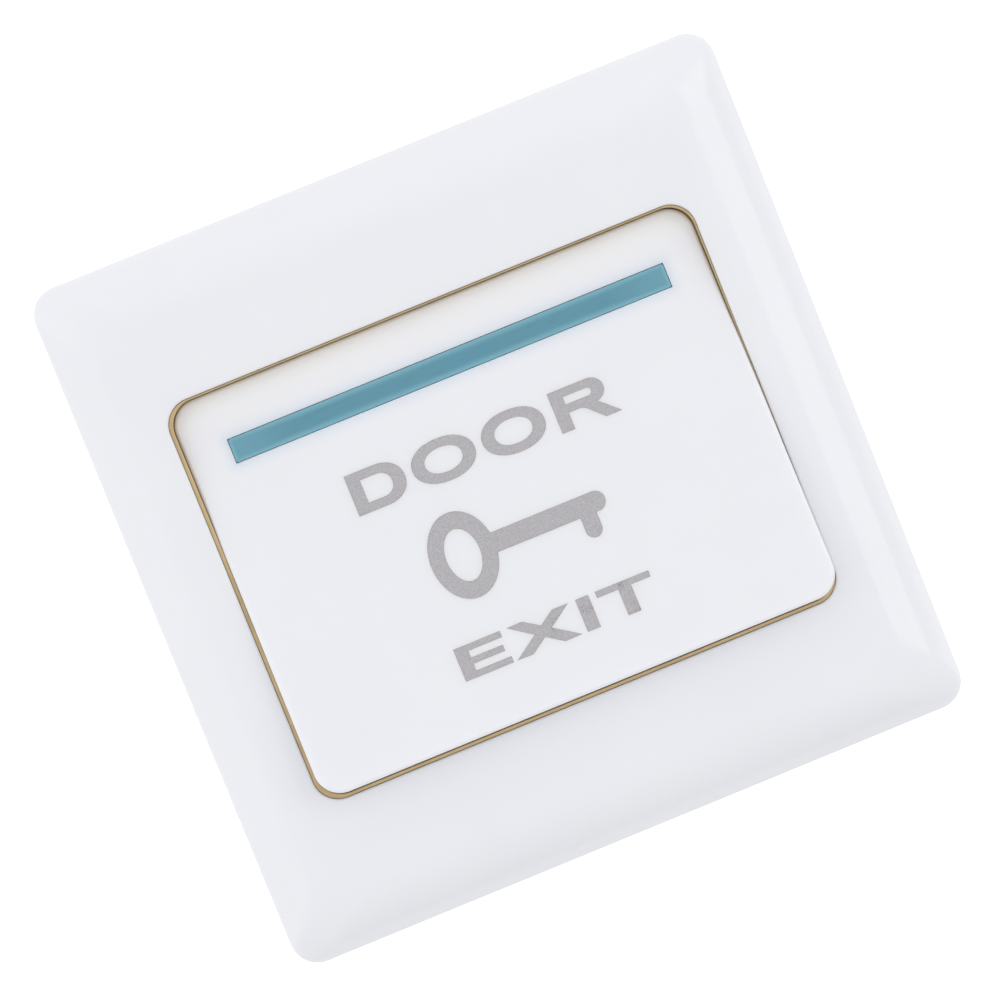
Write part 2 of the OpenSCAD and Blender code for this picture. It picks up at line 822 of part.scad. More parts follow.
module case_lid() {
    color([0.80, 0.80, 0.80])
        difference() {
            union() {
                difference() {
                    translate([0, case_y, -lid_t])
                        linear_extrude(lid_t)
                            rounded_rect(cavity_w + 2 * (lid_ledge - lid_clear),
                                         cavity_h + 2 * (lid_ledge - lid_clear), cavity_r);
                    at_posts()
                        translate([0, 0, -lid_t - past])
                            cylinder(r = post_r + lid_clear, h = lid_t + 2 * past);
                }
                translate([0, plunger_y, guide_low])
                    cylinder(r = guide_r, h = guide_above - guide_low);
                left_and_right()
                    translate([wire_x - hold_down / 2, (support_low_y + support_high_y - hold_down) / 2,
                               arm_top + near_gap])
                        cube([hold_down, hold_down, -arm_top - near_gap - lid_t / 2]);
            }
            translate([0, plunger_y, guide_low - past])
                cylinder(r = plunger_r + pin_clear, h = guide_above - guide_low + 2 * past);
        }
}

module case_screws() {
    recess_l = 1.1 * screw_head_r;
    recess_w = 0.5;
    recess_depth = screw_head_t / 2;
    color([0.72, 0.73, 0.74])
        at_posts()
            translate([0, 0, frame_t - counterbore]) {
                translate([0, 0, counterbore - screw_l])
                    cylinder(r = screw_r, h = screw_l - counterbore + screw_head_t / 2);
                difference() {
                    cylinder(r = screw_head_r, h = screw_head_t);
                    translate([0, 0, screw_head_t - recess_depth])
                        linear_extrude(recess_depth + past)
                            for (a = [0, 90])
                                rotate(a)
                                    square([recess_l, recess_w], center = true);
                }
            }
}

module plunger() {
    color([0.95, 0.55, 0.20])
        translate([0, plunger_y, 0])
            rotate_extrude()
                polygon([[0, plunger_top],
                         [plunger_r - plunger_chamfer, plunger_top],
                         [plunger_r, plunger_top - plunger_chamfer],
                         [plunger_r, flange_top],
                         [flange_r, flange_top],
                         [flange_r, flange_low],
                         [spigot_r, flange_low],
                         [spigot_r, clip_low - spigot_tail],
                         [0, clip_low - spigot_tail]]);
}

module retaining_clip() {
    mouth = 1.4 * spigot_r;
    color([0.72, 0.73, 0.74])
        translate([0, plunger_y, clip_low])
            linear_extrude(clip_t)
                difference() {
                    circle(clip_r);
                    circle(spigot_r + slip);
                    translate([-mouth / 2, -clip_r - past])
                        square([mouth, clip_r + past]);
                }
}

// Points of a coil's wire: rings of corners that climb round the Z axis
function coil_points(r, wire, length, turns, steps, sides) =
    [for (i = [0 : turns * steps], s = [0 : sides - 1])
        let (a = 360 * i / steps,
             b = 360 * s / sides,
             reach = r + wire * cos(b),
             z = wire + (length - 2 * wire) * i / (turns * steps) + wire * sin(b))
        [reach * cos(a), reach * sin(a), z]];

// Faces that join each ring of a coil to the next, and its two ends
function coil_faces(rings, sides) =
    concat([[for (s = [0 : sides - 1]) s]],
           [for (i = [0 : rings - 2], s = [0 : sides - 1])
               [i * sides + s, (i + 1) * sides + s,
                (i + 1) * sides + (s + 1) % sides, i * sides + (s + 1) % sides]],
           [[for (s = [sides - 1 : -1 : 0]) (rings - 1) * sides + s]]);

// A wound spring of the given length, standing on the origin
module coil_spring(length, turns) {
    steps = 16;
    sides = 6;
    polyhedron(coil_points(spring_r, wire_r, length, turns, steps, sides),
               coil_faces(turns * steps + 1, sides));
}

module contact_spring() {
    color([0.75, 0.76, 0.78])
        translate([0, plunger_y, bridge_top])
            coil_spring(contact_spring_l, 3);
}

module return_spring() {
    color([0.75, 0.76, 0.78])
        translate([0, plunger_y, floor_z])
            coil_spring(return_spring_l, 6);
}

module contact_bridge() {
    color([0.80, 0.50, 0.30])
        translate([0, plunger_y, bridge_low])
            linear_extrude(bridge_t)
                difference() {
                    rounded_rect(bridge_l, bridge_w, bridge_r);
                    circle(spigot_r + bridge_play);
                    for (x = [-1, 1])
                        translate([x * contact_pitch / 2, 0])
                            circle(rivet_r + slip);
                }
}

// A contact rivet whose face is at z = 0 and whose shank goes down through a strip of thickness t
module contact_rivet(t) {
    translate([0, 0, -contact_t])
        cylinder(r = contact_r, h = contact_t);
    translate([0, 0, -contact_t - t - rivet_head]) {
        cylinder(r = rivet_r, h = t + rivet_head + contact_t / 2);
        cylinder(r = rivet_r + rivet_head, h = rivet_head);
    }
}

module moving_contacts() {
    color([0.85, 0.85, 0.86])
        for (x = [-1, 1])
            translate([x * contact_pitch / 2, plunger_y, moving_low])
                mirror([0, 0, 1])
                    contact_rivet(bridge_t);
}

module fixed_contacts() {
    color([0.85, 0.85, 0.86])
        for (x = [-1, 1])
            translate([x * contact_pitch / 2, plunger_y, fixed_top])
                contact_rivet(strip_metal);
}

// One terminal strip: an arm with the contact's hole, and a leg down into the wire cage
module terminal() {
    outer_x = wire_x + terminal_w / 2;
    inner_x = contact_pitch / 2 - contact_r;
    translate([0, 0, arm_low])
        linear_extrude(strip_metal)
            difference() {
                union() {
                    translate([inner_x, plunger_y - arm_w / 2])
                        square([outer_x - inner_x, arm_w]);
                    translate([wire_x - terminal_w / 2, plunger_y - arm_w / 2])
                        square([terminal_w, leg_y + strip_metal - plunger_y + arm_w / 2]);
                }
                translate([contact_pitch / 2, plunger_y])
                    circle(rivet_r + slip);
            }
    translate([wire_x - terminal_w / 2, leg_y, cage_low])
        cube([terminal_w, strip_metal, arm_top - cage_low]);
}

module terminal_com() {
    color([0.84, 0.70, 0.35])
        terminal();
}

module terminal_no() {
    color([0.84, 0.70, 0.35])
        mirror([1, 0, 0])
            terminal();
}

module wire_cages() {
    color([0.78, 0.79, 0.80])
        left_and_right()
            difference() {
                translate([wire_x - cage_in_w / 2 - cage_wall, cage_low_y - cage_wall, cage_low])
                    cube([cage_in_w + 2 * cage_wall, cage_high_y - cage_low_y + 2 * cage_wall, cage_h]);
                translate([wire_x - cage_in_w / 2, cage_low_y, cage_low - past])
                    cube([cage_in_w, cage_high_y - cage_low_y, cage_h + 2 * past]);
                translate([wire_x, cage_high_y - past, cage_mid])
                    rotate([-90, 0, 0])
                        cylinder(r = clamp_r + slip, h = cage_wall + 2 * past);
            }
}

module clamp_screws() {
    color([0.72, 0.73, 0.74])
        left_and_right()
            translate([wire_x, clamp_tip_y, cage_mid])
                rotate([-90, 0, 0]) {
                    cylinder(r = clamp_r, h = clamp_head_y - clamp_tip_y + clamp_head_t / 2);
                    translate([0, 0, clamp_head_y - clamp_tip_y])
                        difference() {
                            cylinder(r = clamp_head_r, h = clamp_head_t);
                            translate([-clamp_head_r - past, -clamp_slot_w / 2, clamp_head_t - clamp_slot_depth])
                                cube([2 * clamp_head_r + 2 * past, clamp_slot_w, clamp_slot_depth + past]);
                        }
                }
}

face_plate();
trim_ring();
mounting_frame();
rocker_panel();
indicator_strip();
rocker_carrier();
switch_case();
case_lid();
case_screws();
plunger();
retaining_clip();
contact_spring();
return_spring();
contact_bridge();
moving_contacts();
fixed_contacts();
terminal_com();
terminal_no();
wire_cages();
clamp_screws();
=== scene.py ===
"""Looks of the door exit button: finishes, the printed words and key sign, camera and light."""
import json
import math

import bmesh
import bpy
from mathutils import Matrix, Vector
from mathutils.geometry import intersect_line_line_2d, tessellate_polygon


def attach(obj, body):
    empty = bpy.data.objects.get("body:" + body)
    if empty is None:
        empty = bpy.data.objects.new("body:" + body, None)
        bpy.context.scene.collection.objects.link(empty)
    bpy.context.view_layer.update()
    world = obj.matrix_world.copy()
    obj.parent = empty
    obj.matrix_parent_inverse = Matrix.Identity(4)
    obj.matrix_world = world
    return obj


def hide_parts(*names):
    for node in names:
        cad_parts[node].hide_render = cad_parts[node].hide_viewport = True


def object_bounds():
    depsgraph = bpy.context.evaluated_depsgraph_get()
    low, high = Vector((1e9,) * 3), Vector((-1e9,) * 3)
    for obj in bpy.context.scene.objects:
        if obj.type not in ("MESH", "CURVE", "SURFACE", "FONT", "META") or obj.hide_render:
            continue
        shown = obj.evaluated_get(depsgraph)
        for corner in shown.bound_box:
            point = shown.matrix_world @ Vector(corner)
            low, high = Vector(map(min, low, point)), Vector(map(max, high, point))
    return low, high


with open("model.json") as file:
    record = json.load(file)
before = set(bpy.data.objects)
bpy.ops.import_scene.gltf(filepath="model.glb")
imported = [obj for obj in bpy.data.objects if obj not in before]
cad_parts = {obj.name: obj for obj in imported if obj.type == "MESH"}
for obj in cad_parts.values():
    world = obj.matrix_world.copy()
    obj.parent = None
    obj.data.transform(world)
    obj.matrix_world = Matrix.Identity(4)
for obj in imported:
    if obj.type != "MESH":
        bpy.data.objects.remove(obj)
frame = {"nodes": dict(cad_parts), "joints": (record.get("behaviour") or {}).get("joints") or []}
NODES = frame["nodes"]
cad_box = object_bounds()

MM = 0.001

# The push panel's own frame: its pivot, and how far its lower end leans out at rest
PRESS_JOINT = next(j for j in frame["joints"] if j["name"] == "panel_press")
PIVOT = Vector(PRESS_JOINT["pos_m"])
REST_TILT = math.radians(6.6)
PIVOT_DROP = 4.6 * MM
PANEL_TO_ROW = Matrix.Translation(PIVOT) @ Matrix.Rotation(-REST_TILT, 4, "X")

# The teal strip, in millimetres on the panel's face, measured from its pivot line,
# and the gap between it and its recess
STRIP_X = 0.27
STRIP_Y = 17.23
STRIP_LENGTH = 55.04
STRIP_WIDTH = 2.95
STRIP_CLEAR = 0.06

# The print: how far it stands on the panel, how deep its foot is sunk,
# and the darker rim that shows round it
PRINT_HEIGHT = 0.014
RIM_HEIGHT = 0.007
PRINT_SINK = 0.004
RIM_WIDTH = 0.055

# Segments in an arc of the print, and in a quarter turn of a lofted form
ARC_STEPS = 32
CORNER_STEPS = 24


# Camera and image


def make_camera():
    """The photograph's view: nearly straight on, the plate turned anticlockwise in the image."""
    place = Vector((-19.05, 39.7, 505.6)) * MM
    aim = Vector((-0.54, 0.845, 5.6)) * MM
    roll = -0.384
    image_scale = 8.4985
    image_side = 990
    distance = 500
    data = bpy.data.cameras.new("camera")
    data.sensor_width = 36
    data.lens = data.sensor_width * image_scale * distance / image_side
    data.clip_start = 0.01
    data.clip_end = 20
    camera = bpy.data.objects.new("camera", data)
    bpy.context.scene.collection.objects.link(camera)
    forward = (aim - place).normalized()
    right = forward.cross(Vector((0, 1, 0))).normalized()
    up = right.cross(forward)
    image_right = math.cos(roll) * right + math.sin(roll) * up
    image_up = -math.sin(roll) * right + math.cos(roll) * up
    turn = Matrix((image_right, image_up, -forward)).transposed()
    camera.matrix_world = Matrix.Translation(place) @ turn.to_4x4()
    bpy.context.scene.camera = camera


# Helpers for node materials


class Nodes:
    """A material's node tree, with short calls for the nodes used here."""

    def __init__(self, name):
        self.material = bpy.data.materials.new(name)
        self.material.use_nodes = True
        self.tree = self.material.node_tree
        self.shader = self.tree.nodes["Principled BSDF"]
        self.place = self.add("ShaderNodeTexCoord").outputs["Object"]

    def add(self, kind, **settings):
        node = self.tree.nodes.new(kind)
        for key, value in settings.items():
            setattr(node, key, value)
        return node

    def link(self, source, target):
        self.tree.links.new(source, target)

    def feed(self, socket, value):
        """Links a socket to another's output, or gives it a plain value."""
        if isinstance(value, bpy.types.NodeSocket):
            self.link(value, socket)
        else:
            socket.default_value = value

    def noise(self, scale, detail=2.0, roughness=0.5, place=None):
        node = self.add("ShaderNodeTexNoise")
        self.link(place or self.place, node.inputs["Vector"])
        node.inputs["Scale"].default_value = scale
        node.inputs["Detail"].default_value = detail
        node.inputs["Roughness"].default_value = roughness
        return node.outputs["Fac"]

    def stretched(self, scale):
        """The object's coordinates scaled by axis, for grain that runs one way."""
        node = self.add("ShaderNodeMapping")
        self.link(self.place, node.inputs["Vector"])
        node.inputs["Scale"].default_value = scale
        return node.outputs["Vector"]

    def on_panel(self):
        """The object's coordinates turned into the push panel's own frame."""
        node = self.add("ShaderNodeMapping", vector_type="TEXTURE")
        self.link(self.place, node.inputs["Vector"])
        node.inputs["Location"].default_value = PIVOT
        node.inputs["Rotation"].default_value = (-REST_TILT, 0, 0)
        return node.outputs["Vector"]

    def axis(self, index, place=None):
        node = self.add("ShaderNodeSeparateXYZ")
        self.link(place or self.place, node.inputs[0])
        return node.outputs[index]

    def math(self, operation, a, b=0.0, c=0.0):
        node = self.add("ShaderNodeMath", operation=operation)
        for socket, value in zip(node.inputs, (a, b, c)):
            self.feed(socket, value)
        return node.outputs[0]

    def from_middle(self, value, middle, whole):
        """How far a place is past the end of a length about its middle, both in millimetres."""
        return self.math("SUBTRACT", self.math("ABSOLUTE", self.math("SUBTRACT", value, middle * MM)),
                         whole * MM / 2)

    def ramp(self, value, low, high, to_low=0.0, to_high=1.0, smooth=True):
        node = self.add("ShaderNodeMapRange", interpolation_type="SMOOTHSTEP" if smooth else "LINEAR")
        for name, given in (("Value", value), ("From Min", low), ("From Max", high),
                            ("To Min", to_low), ("To Max", to_high)):
            self.feed(node.inputs[name], given)
        return node.outputs["Result"]

    def mix(self, share, a, b, blend="MIX"):
        node = self.add("ShaderNodeMix", data_type="RGBA", blend_type=blend)
        colours = [s for s in node.inputs if s.type == "RGBA"]
        self.feed(node.inputs[0], share)
        self.feed(colours[0], a)
        self.feed(colours[1], b)
        return next(s for s in node.outputs if s.type == "RGBA")

    def bump(self, height, strength, distance):
        node = self.add("ShaderNodeBump")
        node.inputs["Strength"].default_value = strength
        node.inputs["Distance"].default_value = distance
        self.link(height, node.inputs["Height"])
        self.link(node.outputs["Normal"], self.shader.inputs["Normal"])

    def paint(self, colour):
        self.feed(self.shader.inputs["Base Color"], colour)

    def rough(self, value):
        self.feed(self.shader.inputs["Roughness"], value)

    def set(self, **values):
        for key, value in values.items():
            self.shader.inputs[key.replace("_", " ")].default_value = value


def rgb(red, green, blue):
    """A colour given as it looks on screen, from 0 to 255, as the linear one that Blender takes."""
    def linear(value):
        share = value / 255
        return share / 12.92 if share <= 0.04045 else ((share + 0.055) / 1.055) ** 2.4

    return (linear(red), linear(green), linear(blue), 1)


# Materials


def dust(n, colour, per_metre, share):
    """A few grey specks of dust on a colour."""
    core, rim, strength, grey = 0.01, 0.035, 0.35, rgb(140, 134, 128)
    specks = n.add("ShaderNodeTexVoronoi", feature="F1")
    n.link(n.place, specks.inputs["Vector"])
    specks.inputs["Scale"].default_value = per_metre
    near = n.ramp(specks.outputs["Distance"], core, rim, 1, 0)
    chosen = n.ramp(n.axis(0, specks.outputs["Color"]), 1 - share, 1 - share + 0.01)
    return n.mix(n.math("MULTIPLY", n.math("MULTIPLY", near, chosen), strength), colour, grey)


def gloss_body(n):
    """White moulded plastic: faint cloudiness, a light orange-peel ripple and some dust."""
    cloud = n.noise(90, 3)
    body = n.mix(cloud, rgb(236, 237, 242), rgb(239, 240, 245))
    n.rough(n.ramp(n.noise(400, 2), 0.3, 0.7, 0.08, 0.12))
    n.set(IOR=1.5, Subsurface_Weight=0.35, Subsurface_Radius=(1, 1, 1), Subsurface_Scale=1.5 * MM)
    n.bump(n.noise(700, 1), 0.03, 0.0001)
    return dust(n, body, 170, 0.05)


def gloss_plastic(name):
    n = Nodes(name)
    n.paint(gloss_body(n))
    return n.material


def panel_plastic(name):
    """The push panel's white plastic, which takes a faint blue from the strip let into it; towards its upper
    end it is painted paler, a painted light that offsets the shade in its recess there.
    """
    halo_reach = 2.2 * MM
    painted_light_from, painted_light_full = 19 * MM, 24.5 * MM
    n = Nodes(name)
    body = gloss_body(n)
    spot = n.on_panel()
    # Painted light: the plastic turns paler towards the panel's upper end, offsetting the shade that falls in
    # the recess there
    body = n.mix(n.ramp(n.axis(1, spot), painted_light_from, painted_light_full), body, rgb(247, 248, 252))
    beside = n.math("MAXIMUM", n.from_middle(n.axis(0, spot), STRIP_X, STRIP_LENGTH), 0)
    above = n.math("MAXIMUM", n.from_middle(n.axis(1, spot), STRIP_Y, STRIP_WIDTH), 0)
    away = n.math("SQRT", n.math("ADD", n.math("MULTIPLY", beside, beside), n.math("MULTIPLY", above, above)))
    halo = n.ramp(away, 0, halo_reach, 1, 0)
    n.paint(n.mix(n.math("MULTIPLY", halo, halo), body, rgb(225, 232, 243)))
    return n.material


def gilt(name):
    """Gilt sheet with a drawn grain, duller and browner in places."""
    n = Nodes(name)
    grain = n.noise(1, 3, place=n.stretched((900, 900, 6000)))
    patches = n.ramp(n.noise(160, 2), 0.4, 0.7)
    gold = n.mix(grain, rgb(216, 192, 148), rgb(200, 175, 130))
    n.paint(n.mix(n.math("MULTIPLY", patches, 0.5), gold, rgb(190, 166, 126)))
    n.rough(n.ramp(grain, 0.3, 0.7, 0.3, 0.45))
    n.set(Metallic=0.85)
    return n.material


def strip_plastic(name):
    """Teal translucent plastic, paler along its edges and towards its ends, with faint streaks."""
    end_reach, edge_reach = 9 * MM, 0.9 * MM
    n = Nodes(name)
    spot = n.on_panel()
    along = n.from_middle(n.axis(0, spot), STRIP_X, STRIP_LENGTH)
    beside = n.from_middle(n.axis(1, spot), STRIP_Y, STRIP_WIDTH)
    streaks = n.noise(1, 4, place=n.stretched((400, 1600, 1600)))
    cloud = n.noise(260, 3)
    ends = n.ramp(along, -end_reach, 0, 0, 0.35)
    edge = n.ramp(n.math("MAXIMUM", along, beside), -edge_reach, 0, 0, 0.85)
    middle = n.mix(streaks, rgb(84, 140, 160), rgb(94, 150, 169))
    middle = n.mix(n.ramp(cloud, 0.4, 0.7, 0, 0.5), middle, rgb(86, 147, 168))
    n.paint(n.mix(n.math("MAXIMUM", ends, edge), middle, rgb(124, 178, 194)))
    n.rough(n.ramp(streaks, 0.3, 0.7, 0.25, 0.4))
    n.bump(streaks, 0.06, 0.0001)
    return n.material


def plain_plastic(name, colour):
    """Unpolished moulded plastic with a fine spark-eroded texture."""
    n = Nodes(name)
    fine = n.noise(2500, 3, 0.6)
    shade = tuple(0.93 * c for c in colour[:3]) + (1,)
    n.paint(n.mix(n.noise(120, 3), colour, shade))
    n.rough(n.ramp(fine, 0.3, 0.7, 0.45, 0.6))
    n.bump(fine, 0.15, 0.0001)
    return n.material


def metal(name, colour, rough, grain_scale):
    """Bare or plated metal with a fine drawn grain."""
    n = Nodes(name)
    grain = n.noise(1, 3, place=n.stretched(grain_scale))
    shade = tuple(0.82 * c for c in colour[:3]) + (1,)
    n.paint(n.mix(grain, colour, shade))
    n.rough(n.ramp(grain, 0.3, 0.7, rough, rough + 0.12))
    n.set(Metallic=1.0)
    n.bump(grain, 0.05, 0.0001)
    return n.material


def ink(name, light, dark):
    """Silver-grey screen print: fine grain, with darker rubbed specks towards the lower right."""
    rub_across, rub_down = (-0.002, 0.001), (-0.012, -0.0145)
    n = Nodes(name)
    grain = n.noise(5200, 3, 0.7)
    body = n.mix(n.ramp(grain, 0.35, 0.65), light, dark)
    low_right = n.math("MULTIPLY", n.ramp(n.axis(0), *rub_across), n.ramp(n.axis(1), *rub_down))
    rubbed = n.math("MULTIPLY", n.ramp(n.noise(420, 2), 0.5, 0.62),
                    n.ramp(n.noise(4200, 2, 0.7), 0.45, 0.62))
    body = n.mix(n.math("MULTIPLY", n.math("MULTIPLY", rubbed, low_right), 0.6), body, rgb(96, 93, 96))
    n.paint(body)
    n.rough(n.ramp(grain, 0.3, 0.7, 0.4, 0.6))
    n.bump(grain, 0.2, 0.00005)
    return n.material


def dress_nodes():
    """Gives each CAD node its finish."""
    steel = metal("steel", rgb(200, 202, 205), 0.25, (3000, 3000, 3000))
    spring = metal("spring_wire", rgb(205, 207, 210), 0.2, (5000, 5000, 5000))
    brass = metal("brass", rgb(214, 180, 96), 0.28, (400, 4000, 4000))
    copper = metal("copper", rgb(205, 130, 88), 0.28, (400, 4000, 4000))
    silver = metal("silver", rgb(222, 222, 224), 0.2, (4000, 4000, 4000))
    finishes = {
        "face_plate": gloss_plastic("plate_plastic"),
        "rocker_panel": panel_plastic("panel_plastic"),
        "trim_ring": gilt("gilt"),
        "indicator_strip": strip_plastic("strip_plastic"),
        "mounting_frame": plain_plastic("frame_plastic", rgb(226, 226, 223)),
        "rocker_carrier": plain_plastic("carrier_plastic", rgb(208, 209, 210)),
        "switch_case": plain_plastic("case_plastic", rgb(221, 221, 216)),
        "case_lid": plain_plastic("lid_plastic", rgb(206, 207, 208)),
        "plunger": plain_plastic("plunger_plastic", rgb(238, 150, 62)),
        "case_screws": steel,
        "retaining_clip": steel,
        "wire_cages": steel,
        "clamp_screws": steel,
        "contact_spring": spring,
        "return_spring": spring,
        "contact_bridge": copper,
        "terminal_com": brass,
        "terminal_no": brass,
        "moving_contacts": silver,
        "fixed_contacts": silver,
    }
    for node, material in finishes.items():
        mesh = NODES[node].data
        mesh.materials.clear()
        mesh.materials.append(material)


# Outlines of the print, in millimetres on the panel's face, measured from its pivot line


def arc(centre, radii, start, end, fullness=2.0):
    """Points along part of an ellipse, angles in degrees; more fullness makes it squarer."""
    points = []
    for i in range(ARC_STEPS + 1):
        angle = math.radians(start + (end - start) * i / ARC_STEPS)
        across, up = math.cos(angle), math.sin(angle)
        points.append((centre[0] + radii[0] * math.copysign(abs(across) ** (2 / fullness), across),
                       centre[1] + radii[1] * math.copysign(abs(up) ** (2 / fullness), up)))
    return points


def ring(centre, radii, fullness=2.0):
    return arc(centre, radii, 0, 180, fullness)[:-1] + arc(centre, radii, 180, 360, fullness)[:-1]


def letter_o(centre, radii, side, bar):
    """An oval letter whose stroke is wider at its sides than at its top and foot."""
    fullness = 2.15
    return [ring(centre, radii, fullness), ring(centre, (radii[0] - side, radii[1] - bar), fullness)]


def word_door():
    low, high = 4.58, 9.5
    stem, side, bar = 1.5, 1.5, 0.99
    middle = (low + high) / 2
    d_left, d_turn, d_right = -16.27, -12.75, -9.64
    half = (high - low) / 2
    fullness = 2.2
    letter_d = [[(d_left, low)] + arc((d_turn, middle), (d_right - d_turn, half), -90, 90, fullness)
                + [(d_left, high)],
                [(d_left + stem, low + bar)]
                + arc((d_turn, middle), (d_right - side - d_turn, half - bar), -90, 90, fullness)
                + [(d_left + stem, high - bar)]]
    o_y, o_radii = 7.05, (3.88, 2.54)
    first_o, second_o = (letter_o((x, o_y), o_radii, side, bar) for x in (-4.71, 4.13))
    r_left, r_right, bowl_x, bowl_r, bowl_bar = 9.4, 15.86, 14.28, 1.43, 0.91
    bowl_y = high - bowl_r
    counter_x, counter_radii = 13.86, (0.56, bowl_r - bowl_bar)
    waist_low, waist_high = 6.62, bowl_y - counter_radii[1]
    leg_x, leg_radii = 12.3, (1.15, 0.95)
    leg_foot, leg_meets_bowl = (14.91, 16.78), (14.5, bowl_y - bowl_r + 0.05)
    letter_r = [[(r_left, low), (r_left + stem, low), (r_left + stem, waist_low), (leg_x, waist_low)]
                + arc((leg_x, waist_low - leg_radii[1]), leg_radii, 80, 48)
                + [(leg_foot[0], low), (leg_foot[1], low), leg_meets_bowl]
                + arc((bowl_x, bowl_y), (r_right - bowl_x, bowl_r), -78, 90)
                + [(r_left, high)],
                [(r_left + stem, waist_high)]
                + arc((counter_x, bowl_y), counter_radii, -90, 90)
                + [(r_left + stem, bowl_y + counter_radii[1])]]
    return [letter_d, first_o, second_o, letter_r]


def word_exit():
    low, high = -17.98, -14.06
    stem, bar = 1.5, 0.67
    middle = (low + high) / 2
    e_left, e_foot, e_middle, e_top = -12.04, -6.1, -6.55, -6.28
    letter_e = [[(e_left, low), (e_foot, low), (e_foot, low + bar), (e_left + stem, low + bar),
                 (e_left + stem, middle - bar / 2), (e_middle, middle - bar / 2),
                 (e_middle, middle + bar / 2), (e_left + stem, middle + bar / 2),
                 (e_left + stem, high - bar), (e_top, high - bar), (e_top, high), (e_left, high)]]
    top_falling, foot_falling = (-5.3, -3.42), (0.47, 2.53)
    top_rising, foot_rising = (0.4, 2.29), (-5.5, -3.6)

    def meet(top_a, foot_a, top_b, foot_b):
        lines = [Vector(p) for p in ((top_a, high), (foot_a, low), (top_b, high), (foot_b, low))]
        return tuple(intersect_line_line_2d(*lines))

    letter_x = [[(foot_rising[0], low), (foot_rising[1], low),
                 meet(top_falling[0], foot_falling[0], top_rising[1], foot_rising[1]),
                 (foot_falling[0], low), (foot_falling[1], low),
                 meet(top_falling[1], foot_falling[1], top_rising[1], foot_rising[1]),
                 (top_rising[1], high), (top_rising[0], high),
                 meet(top_falling[1], foot_falling[1], top_rising[0], foot_rising[0]),
                 (top_falling[1], high), (top_falling[0], high),
                 meet(top_falling[0], foot_falling[0], top_rising[0], foot_rising[0])]]
    i_left, i_right = 3.36, 4.88
    letter_i = [[(i_left, low), (i_right, low), (i_right, high), (i_left, high)]]
    t_left, t_right, t_stem = 5.84, 12.49, (8.5, 10.0)
    letter_t = [[(t_stem[0], low), (t_stem[1], low), (t_stem[1], high - bar), (t_right, high - bar),
                 (t_right, high), (t_left, high), (t_left, high - bar), (t_stem[0], high - bar)]]
    return [letter_e, letter_x, letter_i, letter_t]


def key_sign():
    """The usual sign for a key: an oval bow with a hole, a shaft with a round end and one bit."""
    bow, bow_radii = (-6.81, -4.19), (3.95, 5.23)
    hole_radii = (2.12, 3.26)
    shaft_half = 1.17
    shaft_low = bow[1] - shaft_half
    tip_x = 9.88
    bit_left, bit_right = 7.57, 9.49
    bit_r = (bit_right - bit_left) / 2
    bit_y = -7.14
    joint = math.degrees(math.asin(shaft_half / bow_radii[1]))
    outline = (arc(bow, bow_radii, joint, 180)[:-1] + arc(bow, bow_radii, 180, 360 - joint)
               + [(bit_left, shaft_low)]
               + arc(((bit_left + bit_right) / 2, bit_y), (bit_r, bit_r), 180, 360)
               + [(bit_right, shaft_low)]
               + arc((tip_x, bow[1]), (shaft_half, shaft_half), -90, 90))
    return [[outline, ring(bow, hole_radii)]]


def with_ink_on_left(glyph):
    """The glyph's loops in the order that keeps the ink on their left: the first is its outside."""
    ordered = []
    for number, loop in enumerate(glyph):
        area = sum(a[0] * b[1] - b[0] * a[1] for a, b in zip(loop, loop[1:] + loop[:1]))
        turned = (area > 0) != (number == 0)
        ordered.append(loop[::-1] if turned else loop)
    return ordered


def widened(loop, by):
    """A loop moved away from the ink on its left, its sharpest corners held back."""
    longest, tiny = 2.2, 1e-6
    points = [Vector(p) for p in loop]
    moved = []
    for before, here, after in zip(points[-1:] + points[:-1], points, points[1:] + points[:1]):
        first, second = (here - before).normalized(), (after - here).normalized()
        first, second = Vector((first.y, -first.x)), Vector((second.y, -second.x))
        way = first + second
        reach = by * min(longest, 2 / max(way.length, tiny)) if way.length > 0 else by
        moved.append(tuple(here + way.normalized() * reach))
    return moved


def mesh_object(name, mesh, material):
    """An object in the scene made from a bmesh, which is then freed."""
    bmesh.ops.recalc_face_normals(mesh, faces=mesh.faces)
    data = bpy.data.meshes.new(name)
    mesh.to_mesh(data)
    mesh.free()
    data.materials.append(material)
    piece = bpy.data.objects.new(name, data)
    bpy.context.scene.collection.objects.link(piece)
    return piece


def printed_piece(name, glyphs, height, material):
    """A thin printed layer on the panel's face, its foot sunk a little into the plastic."""
    mesh = bmesh.new()
    for glyph in glyphs:
        upper, foot = ([[mesh.verts.new(PANEL_TO_ROW @ Vector((x * MM, y * MM, PIVOT_DROP + z * MM)))
                         for x, y in loop] for loop in glyph] for z in (height, -PRINT_SINK))
        upper_flat, foot_flat = sum(upper, []), sum(foot, [])
        for a, b, c in tessellate_polygon([[Vector((x, y, 0)) for x, y in loop] for loop in glyph]):
            mesh.faces.new((upper_flat[a], upper_flat[b], upper_flat[c]))
            mesh.faces.new((foot_flat[c], foot_flat[b], foot_flat[a]))
        for high, low in zip(upper, foot):
            for i in range(len(high)):
                mesh.faces.new((low[i - 1], low[i], high[i], high[i - 1]))
    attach(mesh_object(name, mesh, material), "rocker")


def make_print():
    """The two plain words and the key between them, each with the darker rim of its underprint."""
    silver_ink = ink("silver_ink", rgb(187, 185, 189), rgb(168, 166, 170))
    rim_ink = ink("rim_ink", rgb(176, 169, 160), rgb(160, 152, 142))
    for name, glyphs in (("print_door", word_door()), ("print_key", key_sign()), ("print_exit", word_exit())):
        glyphs = [with_ink_on_left(glyph) for glyph in glyphs]
        rims = [[widened(loop, RIM_WIDTH) for loop in glyph] for glyph in glyphs]
        printed_piece(name, glyphs, PRINT_HEIGHT, silver_ink)
        printed_piece(name + "_rim", rims, RIM_HEIGHT, rim_ink)


# Forms that stand for CAD nodes, in millimetres until they become points


